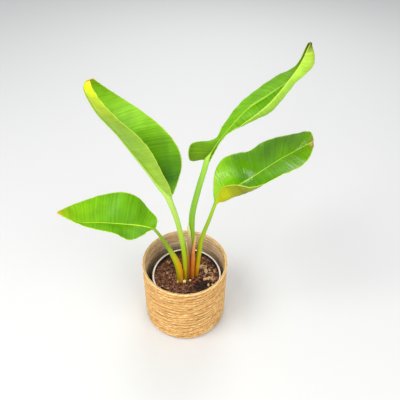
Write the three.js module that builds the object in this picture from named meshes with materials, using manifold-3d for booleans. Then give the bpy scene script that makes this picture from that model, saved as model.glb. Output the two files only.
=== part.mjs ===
// A potted bird of paradise. Four leaves on long stalks rise in a fan from one crown, which is rooted
// in a black nursery pot. The pot stands in a round straw basket with a clear plastic liner.
// Millimetres, +Z up. The origin is the centre of the basket's underside, on the surface it stands on.
// The fan of leaves lies close to the XZ plane, turned a little about Z; -Y is the plant's front.
import * as THREE from "three";
import { mergeVertices } from "three/addons/utils/BufferGeometryUtils.js";
import Module from "manifold-3d";

const wasm = await Module();
wasm.setup();

// ---------------------------------------------------------------- driving dimensions

const GAP = 0.3; // left between pieces that touch

const BASKET = {
  radius: 73.5,
  height: 132,
  wall: 4,
  floor: 5,
  rows: 19, // coils of wound straw, one above the other
  relief: 1.3, // depth of the groove between two rows
  footRadius: 69.5, // the flat underside
  footRise: 4, // height of the rounded bottom edge
  sides: 40,
};

const LINER = { film: 0.6, height: 124 };

const POT = {
  at: [3.2, -7.3], // it stands off centre, against the front of the basket
  rimRadius: 60.2,
  rimTop: 105,
  rimBand: 8, // height of the upright band under the rim
  rimStep: 2.4, // how far the band stands out from the wall
  footRadius: 44,
  footRing: 5, // width of the ring that the pot stands on
  footRaise: 2.5, // height of the floor above that ring
  wall: 1.3,
  holeRadius: 4.2,
  holeCircle: 27,
  holes: 6,
  sides: 36,
};

const SOIL = {
  level: 92,
  mound: 2.2, // the soil is heaped a little round the crown
  bank: 4.5, // and rises to the pot's wall
  bankFrom: 0.72, // share of the radius at which that rise starts
  sides: 32,
  rings: 6,
  chips: 22, // bits of bark on the surface
  seed: 7,
};

const CROWN = { at: [4, -5, 76], radii: [17, 13, 9] };
const ROOTS = { count: 6, thick: 3, thin: 1.3, spread: 30, depth: 22 };

const WEB = 0.8; // thickness of a leaf blade
const BLADE_STEPS = 18; // along the midrib
const BLADE_COLUMNS = [0, 0.1, 0.28, 0.52, 0.76, 1]; // from midrib to margin, on each side

const COLOUR = {
  straw: 0xdfaf6f,
  film: 0xc0a688,
  potBlack: 0x2b2b2d,
  soil: 0x4a3325,
  root: 0xd8a860,
  stalk: 0x9cc832,
  stalkPale: 0xb4d850,
  leafLime: 0x86c80c,
  leafGreen: 0x5ea818,
  leafDeep: 0x4c9a12,
  sheathRed: 0xc23a2a,
  sheathPaper: 0xe6dcb8,
  sheathBrown: 0xb87838,
  cut: 0xe8dc90,
};

// Each leaf is a midrib and two margins, as smooth curves through a few points, and the angle that
// each half turns through between midrib and margin: above 0 the half arches, below 0 it cups or
// rolls up. Left and right are as seen on the upper face with the tip up. The stalk's points also
// give its radius. Packing above 1 draws the veins at the base closer together.
const LEAVES = [
  {
    name: "lower_left",
    colour: COLOUR.leafLime,
    stalkColour: COLOUR.stalk,
    packing: 1.25,
    ribDepth: [2.6, 1.0],
    stalk: [[-7, -13, 82, 5.4], [-11, -12, 131, 5.8], [-25, -11, 173, 3.9], [-39, -11, 204, 2.7],
      [-47, -12, 220, 2.4]],
    midrib: [[-47, -12, 220], [-69, -14, 229], [-99, -16, 234], [-132, -19, 239], [-162, -22, 242],
      [-189, -24, 263]],
    left: [[-44, -12, 219], [-52, -23, 228], [-65, -41, 233], [-79, -56, 241], [-96, -59, 256],
      [-117, -57, 261], [-141, -51, 262], [-167, -37, 262], [-188, -26, 264]],
    right: [[-44, -10, 222], [-43, -1, 234], [-59, 19, 236], [-74, 24, 255], [-98, 23, 266],
      [-129, 29, 255], [-156, 19, 252], [-177, 1, 255], [-188, -22, 264]],
    leftTurn: [0, 10, 10, 0],
    rightTurn: [0, 10, 10, 0],
  },
  {
    name: "upper_left",
    colour: COLOUR.leafGreen,
    stalkColour: COLOUR.stalk,
    packing: 1.15,
    ribDepth: [4.2, 1.0],
    stalk: [[2, -6, 82, 5], [1, -8, 150, 5], [-7, -11, 218, 4.3], [-14, -14, 258, 4.6],
      [-22, -15, 289, 5.2]],
    midrib: [[-22, -15, 289], [-43, -19, 332], [-64, -24, 373], [-83, -29, 410], [-101, -34, 440],
      [-111, -39, 472], [-108, -41, 486]],
    left: [[-17, -13, 291], [-20, -22, 318], [-29, -37, 358], [-37, -48, 392], [-50, -58, 423],
      [-67, -65, 447], [-81, -67, 466], [-95, -60, 483], [-103, -43, 488]],
    right: [[-15, -11, 293], [-8, -8, 315], [-2, -11, 347], [-7, -13, 378], [-26, -14, 409],
      [-52, -3, 426], [-78, -3, 446], [-93, -20, 469], [-100, -38, 488]],
    leftTurn: [-20, -24, -24, -20],
    rightTurn: [-20, -30, -30, -20],
  },
  {
    name: "tall",
    colour: COLOUR.leafDeep,
    stalkColour: COLOUR.stalkPale,
    packing: 1.6,
    ribDepth: [3.4, 0.9],
    stalk: [[7, 3, 82, 4.5], [11, 7, 176, 4.8], [12, 11, 230, 5], [21, 15, 280, 4.6],
      [29, 17, 315, 4.3], [33, 18, 335, 4.3]],
    midrib: [[33, 18, 335], [52, 21, 371], [84, 26, 414], [112, 30, 435], [139, 34, 456],
      [162, 38, 479], [157, 41, 503]],
    left: [[29, 19, 335], [8, 15, 336], [10, 22, 360], [42, 26, 366], [54, 33, 384], [73, 49, 406],
      [100, 61, 427], [127, 64, 447], [147, 53, 467], [155, 44, 500]],
    right: [[37, 14, 334], [42, 12, 350], [49, 11, 368], [57, 10, 383], [76, -1, 407], [98, 1, 426],
      [116, 7, 443], [132, 16, 462], [146, 24, 482], [156, 36, 501]],
    leftTurn: [0, 0],
    rightTurn: [0, 0, 0, -10, -50, -150, -195, -185, -150, -165, -165],
  },
  {
    name: "right",
    colour: COLOUR.leafGreen,
    stalkColour: COLOUR.stalk,
    packing: 1.15,
    ribDepth: [1.8, 1.0],
    stalk: [[18.5, 0, 82, 4.3], [23.5, 5, 141, 4.3], [28.5, 9, 180, 3.8], [39, 12, 218, 3.1],
      [48, 14, 253, 2.8]],
    midrib: [[48, 14, 253], [64, 15, 269], [84, 18, 290], [102, 20, 303], [120, 22, 318],
      [141, 24, 335], [163, 27, 349], [185, 30, 363]],
    left: [[46, 18, 254], [44, 21, 275], [46, 31, 304], [58, 42, 321], [80, 58, 320], [99, 60, 323],
      [116, 66, 334], [139, 63, 347], [162, 59, 356], [181, 45, 370], [187, 37, 362]],
    right: [[48, 10, 256], [52, 5, 283], [60, 0, 301], [78, -13, 315], [96, -19, 316],
      [118, -19, 325], [139, -15, 337], [163, -6, 343], [178, 8, 350], [186, 25, 357]],
    leftTurn: [0, 5, 20, 38, 42, 14, -16, 4, 16, 14, 8],
    rightTurn: [-60, -150, -165, -140, -85, -30, -10, 0, 0],
  },
];

// Bracts that clasp the foot of a stalk. From and to are shares of the stalk's length, facing is the
// side of the stalk that the bract lies on, from its left (0) round by its back (90), and halfWidth
// is the bract's half angle at the foot.
const SHEATHS = [
  { name: "sheath_papery", on: "tall", from: 0.02, to: 0.33, facing: -45, halfWidth: 75, thick: 0.7,
    colour: COLOUR.sheathPaper },
  { name: "sheath_brown", on: "upper_left", from: 0.03, to: 0.4, facing: 200, halfWidth: 46,
    thick: 0.8, colour: COLOUR.sheathBrown },
];

// A bract that is still rolled up stands by itself between two stalks, as a spear.
const SPEAR = {
  name: "sheath_red",
  stalk: [[11, -7, 82, 3.9], [12.3, -6.4, 109, 4.1], [13.6, -5.8, 140, 4], [15, -5.2, 166, 3],
    [17.2, -4.6, 186, 1.7], [19.6, -4, 199, 0.6]],
};

// Old leaves were cut off just above the soil.
const STUBS = [
  { name: "stub_front", stalk: [[1, -16, 80, 3.1], [0.5, -17, 90, 3.3], [-0.5, -18.5, 99, 3.1]] },
  { name: "stub_small", stalk: [[8.6, -13.6, 80, 2.1], [9, -14, 90, 2.2], [9.4, -14.4, 97, 2]] },
];

// ---------------------------------------------------------------- solids

/** A geometry as a solid that can be cut and joined. */
function solidOf(geometry) {
  const bare = geometry.clone();
  bare.deleteAttribute("normal");
  bare.deleteAttribute("uv");
  const merged = mergeVertices(bare, 1e-3);
  const corners = merged.index.array;
  const kept = [];
  for (let i = 0; i < corners.length; i += 3) {
    const [a, b, c] = corners.slice(i, i + 3);
    if (a !== b && b !== c && c !== a) kept.push(a, b, c);
  }
  return new wasm.Manifold(
    new wasm.Mesh({
      numProp: 3,
      vertProperties: merged.attributes.position.array,
      triVerts: new Uint32Array(kept),
    }),
  );
}

/** A solid as a geometry, without the scraps that a cut can leave. */
function geometryOf(solid) {
  const bodies = solid.decompose().sort((a, b) => b.volume() - a.volume());
  const { numProp, vertProperties, triVerts } = bodies[0].getMesh();
  const position = new Float32Array((vertProperties.length / numProp) * 3);
  for (let i = 0; i * 3 < position.length; i++) {
    position.set(vertProperties.subarray(i * numProp, i * numProp + 3), i * 3);
  }
  const geometry = new THREE.BufferGeometry();
  geometry.setAttribute("position", new THREE.BufferAttribute(position, 3));
  geometry.setIndex(new THREE.BufferAttribute(new Uint32Array(triVerts), 1));
  return geometry;
}

const joined = (solids) => solids.reduce((whole, solid) => whole.add(solid));

/** A profile of [radius, height] points turned about the Z axis. */
function turned(profile, sides) {
  const points = profile.map(([radius, height]) => new THREE.Vector2(radius, height));
  return new THREE.LatheGeometry(points, sides).rotateX(Math.PI / 2);
}

/** A thin closed sheet between an outer and an inner face, split into triangles alike on both. */
function sheet(steps, columns, outer, inner) {
  const position = [];
  const index = [];
  const width = columns.length;
  const face = (steps + 1) * width;
  for (const surface of [outer, inner]) {
    for (let i = 0; i <= steps; i++) {
      for (const u of columns) position.push(...surface(i / steps, u).toArray());
    }
  }
  const at = (i, j) => i * width + j;
  const quad = (a, b, c, d) => index.push(a, b, c, a, c, d);
  for (let i = 0; i < steps; i++) {
    for (let j = 0; j < width - 1; j++) {
      const [a, b, c, d] = [at(i, j), at(i + 1, j), at(i + 1, j + 1), at(i, j + 1)];
      index.push(a, b, c, a, c, d);
      index.push(a + face, c + face, b + face, a + face, d + face, c + face);
    }
    const last = width - 1;
    quad(at(i + 1, 0), at(i, 0), at(i, 0) + face, at(i + 1, 0) + face);
    quad(at(i, last), at(i + 1, last), at(i + 1, last) + face, at(i, last) + face);
  }
  for (let j = 0; j < width - 1; j++) {
    quad(at(0, j), at(0, j + 1), at(0, j + 1) + face, at(0, j) + face);
    quad(at(steps, j + 1), at(steps, j), at(steps, j) + face, at(steps, j + 1) + face);
  }
  const geometry = new THREE.BufferGeometry();
  geometry.setAttribute("position", new THREE.Float32BufferAttribute(position, 3));
  geometry.setIndex(index);
  return geometry;
}

// ---------------------------------------------------------------- curves

/** A smooth curve through points, or through numbers kept in x. */
function through(rows) {
  const points = rows.map((row) => new THREE.Vector3(...[row].flat().slice(0, 3)));
  return new THREE.CatmullRomCurve3(points, false, "catmullrom", 0.5);
}

/** Where a stalk's axis runs at a share of its length, with two directions across it. */
function stalkFrame(stalk, share) {
  const path = through(stalk);
  const along = path.getTangent(share);
  const right = new THREE.Vector3().crossVectors(along, new THREE.Vector3(0, 1, 0)).normalize();
  return {
    centre: path.getPoint(share),
    radius: through(stalk.map((row) => row[3])).getPoint(share).x,
    along,
    right,
    back: new THREE.Vector3().crossVectors(right, along),
  };
}

/** A round stalk, tapered along its points. Grow makes it larger all over, to cut a hole for it. */
function stalkShape(stalk, steps, sides, grow = 0) {
  const geometry = new THREE.CylinderGeometry(1, 1, 1, sides, steps);
  const position = geometry.attributes.position;
  for (let i = 0; i < position.count; i++) {
    const [x, y, z] = [position.getX(i), position.getY(i), position.getZ(i)];
    const { centre, radius, along, right, back } = stalkFrame(stalk, y + 0.5);
    const end = Math.abs(y) > 0.499 ? Math.sign(y) * grow : 0;
    centre.addScaledVector(along, end);
    centre.addScaledVector(right, x * (radius + grow));
    centre.addScaledVector(back, z * (radius + grow));
    position.setXYZ(i, ...centre.toArray());
  }
  return geometry;
}

// ---------------------------------------------------------------- the basket, its liner and the pot

/** Rows of wound straw as a ridged wall on a flat floor, with a rounded bottom edge. */
function basketShape() {
  const { radius, height, wall, floor, rows, relief, footRadius, footRise, sides } = BASKET;
  const profile = [[0, 0], [footRadius, 0], [radius - 2, footRise / 2]];
  const rowHeight = (height - footRise) / rows;
  for (let row = 0; row < rows; row++) {
    const low = footRise + row * rowHeight;
    profile.push([radius - relief, low], [radius, low + rowHeight / 2]);
  }
  profile.push([radius - relief, height], [radius - wall, height]);
  profile.push([radius - wall, floor + 3], [radius - wall - 3, floor], [0, floor]);
  return turned(profile, sides);
}

/** A cup of thin film that lines the basket. */
function linerShape() {
  const outer = BASKET.radius - BASKET.wall - GAP;
  const low = BASKET.floor + GAP;
  const { film, height } = LINER;
  return turned(
    [
      [0, low],
      [outer - 3.2, low],
      [outer, low + 3.2],
      [outer, height],
      [outer - film, height],
      [outer - film, low + 3.2 + film / 2],
      [outer - 3.2 - film / 2, low + film],
      [0, low + film],
    ],
    BASKET.sides,
  );
}

const potFloor = BASKET.floor + GAP + LINER.film + GAP;
const potBandBase = POT.rimTop - POT.rimBand;

/** The outer radius of the pot's tapered wall at a height. */
function potRadius(height) {
  const top = potBandBase - POT.rimStep;
  const share = (height - potFloor) / (top - potFloor);
  return POT.footRadius + share * (POT.rimRadius - POT.rimStep - POT.footRadius);
}

/** The tapered pot: a ring foot, a raised floor with drain holes, and an upright band at the rim. */
function potShape() {
  const { rimRadius, rimTop, rimStep, footRadius, footRing, footRaise, wall, sides } = POT;
  const wallTop = potBandBase - rimStep;
  const floorTop = potFloor + footRaise + wall;
  const shell = solidOf(
    turned(
      [
        [0, potFloor + footRaise],
        [footRadius - footRing - 1, potFloor + footRaise],
        [footRadius - footRing, potFloor],
        [footRadius, potFloor],
        [potRadius(wallTop), wallTop],
        [rimRadius, potBandBase],
        [rimRadius, rimTop],
        [rimRadius - wall, rimTop],
        [rimRadius - wall, potBandBase + 0.5],
        [potRadius(wallTop) - wall, wallTop + 0.5],
        [potRadius(floorTop + 1) - wall, floorTop + 1],
        [potRadius(floorTop) - wall - 1, floorTop],
        [0, floorTop],
      ],
      sides,
    ),
  );
  const drill = (x, y) =>
    solidOf(
      new THREE.CylinderGeometry(POT.holeRadius, POT.holeRadius, 20, 10)
        .rotateX(Math.PI / 2)
        .translate(x, y, potFloor),
    );
  const drills = [drill(0, 0)];
  for (let hole = 0; hole < POT.holes; hole++) {
    const turn = (hole / POT.holes) * 2 * Math.PI;
    drills.push(drill(POT.holeCircle * Math.cos(turn), POT.holeCircle * Math.sin(turn)));
  }
  return geometryOf(shell.subtract(joined(drills)).translate([...POT.at, 0]));
}

// ---------------------------------------------------------------- the leaves

/** A point of a leaf's upper face: s runs from base to tip, u from -1 (right margin) to 1 (left). */
function bladePoint(leaf, s, u) {
  const left = u >= 0;
  const share = s ** leaf.packing;
  const rib = through(leaf.midrib);
  const start = rib.getPoint(share);
  const chord = through(left ? leaf.left : leaf.right).getPoint(s).sub(start);
  const up = new THREE.Vector3().crossVectors(rib.getTangent(share), chord);
  up.normalize().multiplyScalar(left ? 1 : -1);
  const degrees = through(left ? leaf.leftTurn : leaf.rightTurn).getPoint(s).x;
  const turn = THREE.MathUtils.degToRad(Math.abs(degrees) < 0.1 ? 0.1 : degrees);
  const arcRadius = chord.length() / (2 * Math.sin(turn / 2));
  const angle = turn * (Math.abs(u) - 0.5);
  start.addScaledVector(chord.normalize(), arcRadius * (Math.sin(angle) + Math.sin(turn / 2)));
  return start.addScaledVector(up, arcRadius * (Math.cos(angle) - Math.cos(turn / 2)));
}

/** The way the upper face looks at a point of a leaf. */
function bladeNormal(leaf, s, u) {
  const [before, after] = [Math.max(s - 0.01, 0), Math.min(s + 0.01, 1)];
  const [low, high] = [Math.max(u - 0.03, -1), Math.min(u + 0.03, 1)];
  const along = bladePoint(leaf, after, u).sub(bladePoint(leaf, before, u));
  const across = bladePoint(leaf, s, high).sub(bladePoint(leaf, s, low));
  return along.cross(across).normalize();
}

/** A leaf blade: a thin sheet with the midrib as a keel under it. */
function bladeShape(leaf) {
  const columns = [...BLADE_COLUMNS.slice(1).reverse().map((u) => -u), ...BLADE_COLUMNS];
  const [ribBase, ribTip] = leaf.ribDepth;
  const under = (s, u) => {
    const depth = u === 0 ? ribBase + (ribTip - ribBase) * s : WEB;
    return bladePoint(leaf, s, u).addScaledVector(bladeNormal(leaf, s, u), -depth);
  };
  return sheet(BLADE_STEPS, columns, (s, u) => bladePoint(leaf, s, u), under);
}

/** A bract round the foot of a stalk, narrowing to a point. */
function sheathShape({ from, to, facing, halfWidth, thick }, stalk) {
  const lift = (height) => (s, u) => {
    const { centre, radius, right, back } = stalkFrame(stalk, from + (to - from) * s);
    const reach = halfWidth * Math.sqrt(1 - s * 0.97);
    const angle = THREE.MathUtils.degToRad(facing + u * reach);
    centre.addScaledVector(right, Math.cos(angle) * (radius + height));
    return centre.addScaledVector(back, Math.sin(angle) * (radius + height));
  };
  const clear = GAP + 0.15; // the stalk has flat sides, and the bract's corners lie on its flats
  return sheet(8, [-1, -0.5, 0, 0.5, 1], lift(clear + thick), lift(clear));
}

const STALK_STEPS = 10;
const STALK_SIDES = 10;
const stalkSolid = (leaf, grow) => solidOf(stalkShape(leaf.stalk, STALK_STEPS, STALK_SIDES, grow));

// ---------------------------------------------------------------- crown, roots and soil

/** A random number from 0 to 1 that is the same for the same seed and count. */
function draw(seed, count) {
  const wave = Math.sin(seed * 127.1 + count * 311.7) * 43758.5453;
  return wave - Math.floor(wave);
}

/** The crown that the leaves grow from, with its fleshy roots. Grow makes it larger all over. */
function rootstockSolid(grow) {
  const [rx, ry, rz] = CROWN.radii;
  const crown = new THREE.SphereGeometry(1, 14, 8)
    .rotateX(Math.PI / 2)
    .scale(rx + grow, ry + grow, rz + grow)
    .translate(...CROWN.at);
  const parts = [solidOf(crown)];
  const [cx, cy, cz] = CROWN.at;
  for (let root = 0; root < ROOTS.count; root++) {
    const turn = ((root + 0.4 * draw(3, root)) / ROOTS.count) * 2 * Math.PI;
    const [x, y] = [Math.cos(turn), Math.sin(turn)];
    const reach = ROOTS.spread * (0.75 + 0.25 * draw(5, root));
    const path = [
      [cx + 6 * x, cy + 5 * y, cz - 2, ROOTS.thick],
      [cx + reach * 0.6 * x, cy + reach * 0.6 * y, cz - 14, ROOTS.thick],
      [cx + reach * 0.95 * x, cy + reach * 0.95 * y, cz - 34, (ROOTS.thick + ROOTS.thin) / 2],
      [cx + reach * x, cy + reach * y, ROOTS.depth + 6 * draw(9, root), ROOTS.thin],
    ];
    parts.push(solidOf(stalkShape(path, 5, 6, grow)));
  }
  return joined(parts);
}

/** How high the soil lies at a place, with its lumps, the mound at the crown and the bank outside. */
function soilHeight(x, y) {
  const lumps =
    1.1 * Math.sin(0.21 * x + 1) * Math.cos(0.17 * y) + 0.7 * Math.sin(0.43 * x - 0.35 * y);
  const distance = Math.hypot(x - CROWN.at[0], y - CROWN.at[1]);
  const out = Math.hypot(x - POT.at[0], y - POT.at[1]) / potRadius(SOIL.level);
  const bank = THREE.MathUtils.smoothstep(out, SOIL.bankFrom, 1);
  const mound = Math.exp(-((distance / 22) ** 2));
  return SOIL.level + lumps + SOIL.mound * mound + SOIL.bank * bank;
}

/** The soil that fills the pot, with lumps and bark chips on top. */
function soilSolid() {
  const low = potFloor + POT.footRaise + POT.wall + GAP;
  const clear = GAP + 0.2; // the pot's wall has flat sides
  const inside = (height) => potRadius(height) - POT.wall - clear;
  const profile = [[0, low], [inside(low) - 2.5, low], [inside(low + 3), low + 3]];
  const brim = SOIL.level - 1.5;
  for (let ring = 0; ring <= SOIL.rings; ring++) {
    profile.push([inside(brim) * (1 - ring / SOIL.rings), SOIL.level]);
  }
  const body = turned(profile, SOIL.sides).translate(...POT.at, 0);
  const position = body.attributes.position;
  for (let i = 0; i < position.count; i++) {
    const z = position.getZ(i);
    if (z > SOIL.level - 0.01) position.setZ(i, soilHeight(position.getX(i), position.getY(i)));
  }
  const parts = [solidOf(body)];
  for (let chip = 0; chip < SOIL.chips; chip++) {
    const turn = 2 * Math.PI * draw(SOIL.seed, chip);
    const out = 14 + 34 * Math.sqrt(draw(SOIL.seed + 1, chip));
    const [x, y] = [POT.at[0] + out * Math.cos(turn), POT.at[1] + out * Math.sin(turn)];
    const long = 4 + 5 * draw(SOIL.seed + 2, chip);
    const shape = new THREE.BoxGeometry(long, long * 0.6, 2.4)
      .rotateX(0.5 * draw(SOIL.seed + 3, chip))
      .rotateZ(2 * Math.PI * draw(SOIL.seed + 4, chip))
      .translate(x, y, soilHeight(x, y) + 0.3);
    parts.push(solidOf(shape));
  }
  return joined(parts);
}

// ---------------------------------------------------------------- the whole plant

const plant = new THREE.Group();

function place(name, geometry, color, roughness, options = {}) {
  const material = new THREE.MeshStandardMaterial({ color, roughness, metalness: 0, ...options });
  const mesh = new THREE.Mesh(geometry, material);
  mesh.name = name;
  plant.add(mesh);
}

place("basket", basketShape(), COLOUR.straw, 0.8);
place("liner", linerShape(), COLOUR.film, 0.25, { transparent: true, opacity: 0.35 });
place("nursery_pot", potShape(), COLOUR.potBlack, 0.45);

const stalks = new Map(LEAVES.map((leaf) => [leaf.name, stalkSolid(leaf, 0)]));
const stalkHoles = new Map(LEAVES.map((leaf) => [leaf.name, stalkSolid(leaf, GAP)]));

// The stalk of the tall leaf is the inmost of the fan, and the one beside it is pressed against it.
stalks.set("right", stalks.get("right").subtract(stalkHoles.get("tall")));

for (const leaf of LEAVES) {
  const blade = solidOf(bladeShape(leaf)).subtract(stalkHoles.get(leaf.name));
  place("stalk_" + leaf.name, geometryOf(stalks.get(leaf.name)), leaf.stalkColour, 0.4);
  place("blade_" + leaf.name, geometryOf(blade), leaf.colour, 0.35);
}

const sheaths = [];
for (const sheath of SHEATHS) {
  const { stalk } = LEAVES.find((leaf) => leaf.name === sheath.on);
  const cuts = [...stalkHoles.values(), ...sheaths];
  const body = cuts.reduce((rest, cut) => rest.subtract(cut), solidOf(sheathShape(sheath, stalk)));
  place(sheath.name, geometryOf(body), sheath.colour, 0.7);
  sheaths.push(solidOf(sheathShape({ ...sheath, thick: sheath.thick + GAP }, stalk)));
}

const nearSpear = [...stalkHoles.values(), ...sheaths];
const spear = nearSpear.reduce(
  (rest, cut) => rest.subtract(cut),
  solidOf(stalkShape(SPEAR.stalk, 12, 10)),
);
place(SPEAR.name, geometryOf(spear), COLOUR.sheathRed, 0.6);
sheaths.push(solidOf(stalkShape(SPEAR.stalk, 12, 10, GAP)));

const stubHoles = [];
for (const stub of STUBS) {
  place(stub.name, stalkShape(stub.stalk, 2, 8), COLOUR.cut, 0.6);
  stubHoles.push(solidOf(stalkShape(stub.stalk, 2, 8, GAP)));
}

const holes = joined([...stalkHoles.values(), ...stubHoles, ...sheaths]);
place("rootstock", geometryOf(rootstockSolid(0).subtract(holes)), COLOUR.root, 0.7);
place("soil", geometryOf(soilSolid().subtract(holes).subtract(rootstockSolid(GAP))), COLOUR.soil, 1);

export default plant;
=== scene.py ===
"""A potted bird of paradise in a straw basket: the looks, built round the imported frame.

Shapes are worked out in millimetres and scaled to metres when a piece is placed. +Z is up, the
plant's front is -Y, and the origin is the middle of the basket's underside.
"""

import math

import bmesh
import bpy
import numpy as np
from mathutils import Matrix, Vector, noise


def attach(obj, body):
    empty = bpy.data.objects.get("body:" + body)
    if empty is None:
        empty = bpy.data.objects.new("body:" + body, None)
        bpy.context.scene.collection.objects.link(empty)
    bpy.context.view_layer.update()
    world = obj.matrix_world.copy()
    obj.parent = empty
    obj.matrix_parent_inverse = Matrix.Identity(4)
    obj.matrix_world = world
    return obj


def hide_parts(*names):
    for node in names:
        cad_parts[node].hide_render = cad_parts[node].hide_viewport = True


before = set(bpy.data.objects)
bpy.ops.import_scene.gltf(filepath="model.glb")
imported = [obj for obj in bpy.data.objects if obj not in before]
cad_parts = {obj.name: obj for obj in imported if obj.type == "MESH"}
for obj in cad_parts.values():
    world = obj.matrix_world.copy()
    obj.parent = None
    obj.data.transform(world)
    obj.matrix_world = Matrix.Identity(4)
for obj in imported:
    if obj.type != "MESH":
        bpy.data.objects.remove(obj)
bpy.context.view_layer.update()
scene = bpy.context.scene

MM = 0.001
TURN = 2 * math.pi

# -------------------- sizes, in mm

BASKET_RADIUS = 73.5
BASKET_HEIGHT = 132
BASKET_WALL = 4
BASKET_FLOOR = 5
FOOT_RISE = 4
ROWS = 19
ROW_HEIGHT = (BASKET_HEIGHT - FOOT_RISE) / ROWS

LINER_HEIGHT = 124
LINER_GAP = 0.3
FILM_THICKNESS = 0.25

POT_AT = (3.2, -7.3)
POT_RIM = 60.2
POT_TOP = 105
POT_BAND = 8
POT_STEP = 2.4
POT_FOOT = 44
POT_FLOOR = 6.2
POT_WALL = 1.3
LIP_WIDTH = 3.3
LIP_DEPTH = 2

SOIL_LEVEL = 92
SOIL_MOUND = 2.2
SOIL_BANK = 4.5
BANK_FROM = 0.72
CROWN_AT = (4, -5)

BLADE_THICKNESS = 0.6

# Each leaf is a midrib and two margins, as smooth curves through a few points, and the angle that
# each half turns through between midrib and margin: above 0 it arches, below 0 it cups or rolls up.
# Packing above 1 draws the veins at the base closer together. The stalk's points end in its radius.
LEAVES = {
    "lower_left": {
        "packing": 1.25,
        "rib": (1.6, 0.6),
        "veins": 34,
        "stalk": [(-7, -13, 82, 5.4), (-11, -12, 131, 5.8), (-25, -11, 173, 3.9),
                  (-39, -11, 204, 2.7), (-47, -12, 220, 2.4)],
        "midrib": [(-47, -12, 220), (-69, -14, 229), (-99, -16, 234), (-132, -19, 239),
                   (-162, -22, 242), (-189, -24, 263)],
        "left": [(-44, -12, 219), (-52, -23, 228), (-65, -41, 233), (-79, -56, 241),
                 (-96, -59, 256), (-117, -57, 261), (-141, -51, 262), (-167, -37, 262),
                 (-188, -26, 264)],
        "right": [(-44, -10, 222), (-43, -1, 234), (-59, 19, 236), (-74, 24, 255),
                  (-98, 23, 266), (-129, 29, 255), (-156, 19, 252), (-177, 1, 255),
                  (-188, -22, 264)],
        "left_turn": [0, 10, 10, 0],
        "right_turn": [0, 10, 10, 0],
    },
    "upper_left": {
        "packing": 1.15,
        "rib": (2.3, 0.6),
        "veins": 44,
        "stalk": [(2, -6, 82, 5), (1, -8, 150, 5), (-7, -11, 218, 4.3), (-14, -14, 258, 4.6),
                  (-22, -15, 289, 5.2)],
        "midrib": [(-22, -15, 289), (-43, -19, 332), (-64, -24, 373), (-83, -29, 410),
                   (-101, -34, 440), (-111, -39, 472), (-108, -41, 486)],
        "left": [(-17, -13, 291), (-20, -22, 318), (-29, -37, 358), (-37, -48, 392),
                 (-50, -58, 423), (-67, -65, 447), (-81, -67, 466), (-95, -60, 483),
                 (-103, -43, 488)],
        "right": [(-15, -11, 293), (-8, -8, 315), (-2, -11, 347), (-7, -13, 378),
                  (-26, -14, 409), (-52, -3, 426), (-78, -3, 446), (-93, -20, 469),
                  (-100, -38, 488)],
        "left_turn": [-20, -24, -24, -20],
        "right_turn": [-20, -30, -30, -20],
    },
    "tall": {
        "packing": 1.6,
        "rib": (1.9, 0.6),
        "veins": 42,
        "stalk": [(7, 3, 82, 4.5), (11, 7, 176, 4.8), (12, 11, 230, 5), (21, 15, 280, 4.6),
                  (29, 17, 315, 4.3), (33, 18, 335, 4.3)],
        "midrib": [(33, 18, 335), (52, 21, 371), (84, 26, 414), (112, 30, 435), (139, 34, 456),
                   (162, 38, 479), (157, 41, 503)],
        "left": [(29, 19, 335), (8, 15, 336), (10, 22, 360), (42, 26, 366), (54, 33, 384),
                 (73, 49, 406), (100, 61, 427), (127, 64, 447), (147, 53, 467), (155, 44, 500)],
        "right": [(37, 14, 334), (42, 12, 350), (49, 11, 368), (57, 10, 383), (76, -1, 407),
                  (98, 1, 426), (116, 7, 443), (132, 16, 462), (146, 24, 482), (156, 36, 501)],
        "left_turn": [0, 0],
        "right_turn": [0, 0, 0, -10, -50, -150, -195, -185, -150, -165, -165],
    },
    "right": {
        "packing": 1.15,
        "rib": (1.3, 0.6),
        "veins": 38,
        "stalk": [(18.5, 0, 82, 4.3), (23.5, 5, 141, 4.3), (28.5, 9, 180, 3.8),
                  (39, 12, 218, 3.1), (48, 14, 253, 2.8)],
        "midrib": [(48, 14, 253), (64, 15, 269), (84, 18, 290), (102, 20, 303), (120, 22, 318),
                   (141, 24, 335), (163, 27, 349), (185, 30, 363)],
        "left": [(46, 18, 254), (44, 21, 275), (46, 31, 304), (58, 42, 321), (80, 58, 320),
                 (99, 60, 323), (116, 66, 334), (139, 63, 347), (162, 59, 356), (181, 45, 370),
                 (187, 37, 362)],
        "right": [(48, 10, 256), (52, 5, 283), (60, 0, 301), (78, -13, 315), (96, -19, 316),
                  (118, -19, 325), (139, -15, 337), (163, -6, 343), (178, 8, 350),
                  (186, 25, 357)],
        "left_turn": [0, 5, 20, 38, 42, 14, -16, 4, 16, 14, 8],
        "right_turn": [-60, -150, -165, -140, -85, -30, -10, 0, 0],
    },
}

# -------------------- materials

def linear(code):
    """An sRGB hex colour as the linear colour that a shader takes."""
    shares = [int(code[i : i + 2], 16) / 255 for i in (1, 3, 5)]
    return (*[c / 12.92 if c <= 0.04045 else ((c + 0.055) / 1.055) ** 2.4 for c in shares], 1)


def add(tree, kind, feeds=None, out=0, stops=None, **settings):
    """A node with its settings, as the one of its outputs that is wanted. Feeds are its inputs: a
    value, or the output that feeds it. Stops are a colour ramp's places and colours."""
    made = tree.nodes.new("ShaderNode" + kind)
    for field, value in settings.items():
        setattr(made, field, value)
    for socket, value in (feeds or {}).items():
        if isinstance(value, bpy.types.NodeSocket):
            tree.links.new(value, made.inputs[socket])
        else:
            made.inputs[socket].default_value = value
    for place, (at, code) in enumerate(stops or []):
        elements = made.color_ramp.elements
        element = elements[place] if place < len(elements) else elements.new(at)
        element.position = at
        element.color = linear(code)
    return made.outputs[out]


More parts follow.
